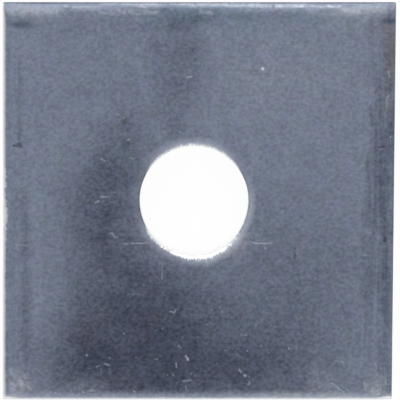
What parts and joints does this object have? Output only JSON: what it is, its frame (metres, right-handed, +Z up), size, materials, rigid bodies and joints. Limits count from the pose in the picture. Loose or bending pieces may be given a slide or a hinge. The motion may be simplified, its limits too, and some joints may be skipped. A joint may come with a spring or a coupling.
{
  "type": "bearing plate",
  "caption": "Square flat steel plate with a round bolt hole near its middle, put under a nut or bolt head to spread its load over timber.",
  "frame": {"origin": "middle of the underside", "axes": "+X across the bar between its rolled edges, +Y along the bar between its sheared ends, +Z up along the bolt hole to the punched face"},
  "size_m": [0.063, 0.0644, 0.0063],
  "materials": {
    "zinc_steel": "dull blue-grey zinc on sheared and punched bar, with scuffs and brighter edges"
  },
  "bodies": {
    "root": {"bearing_plate": "zinc_steel"}
  },
  "joints": []
}
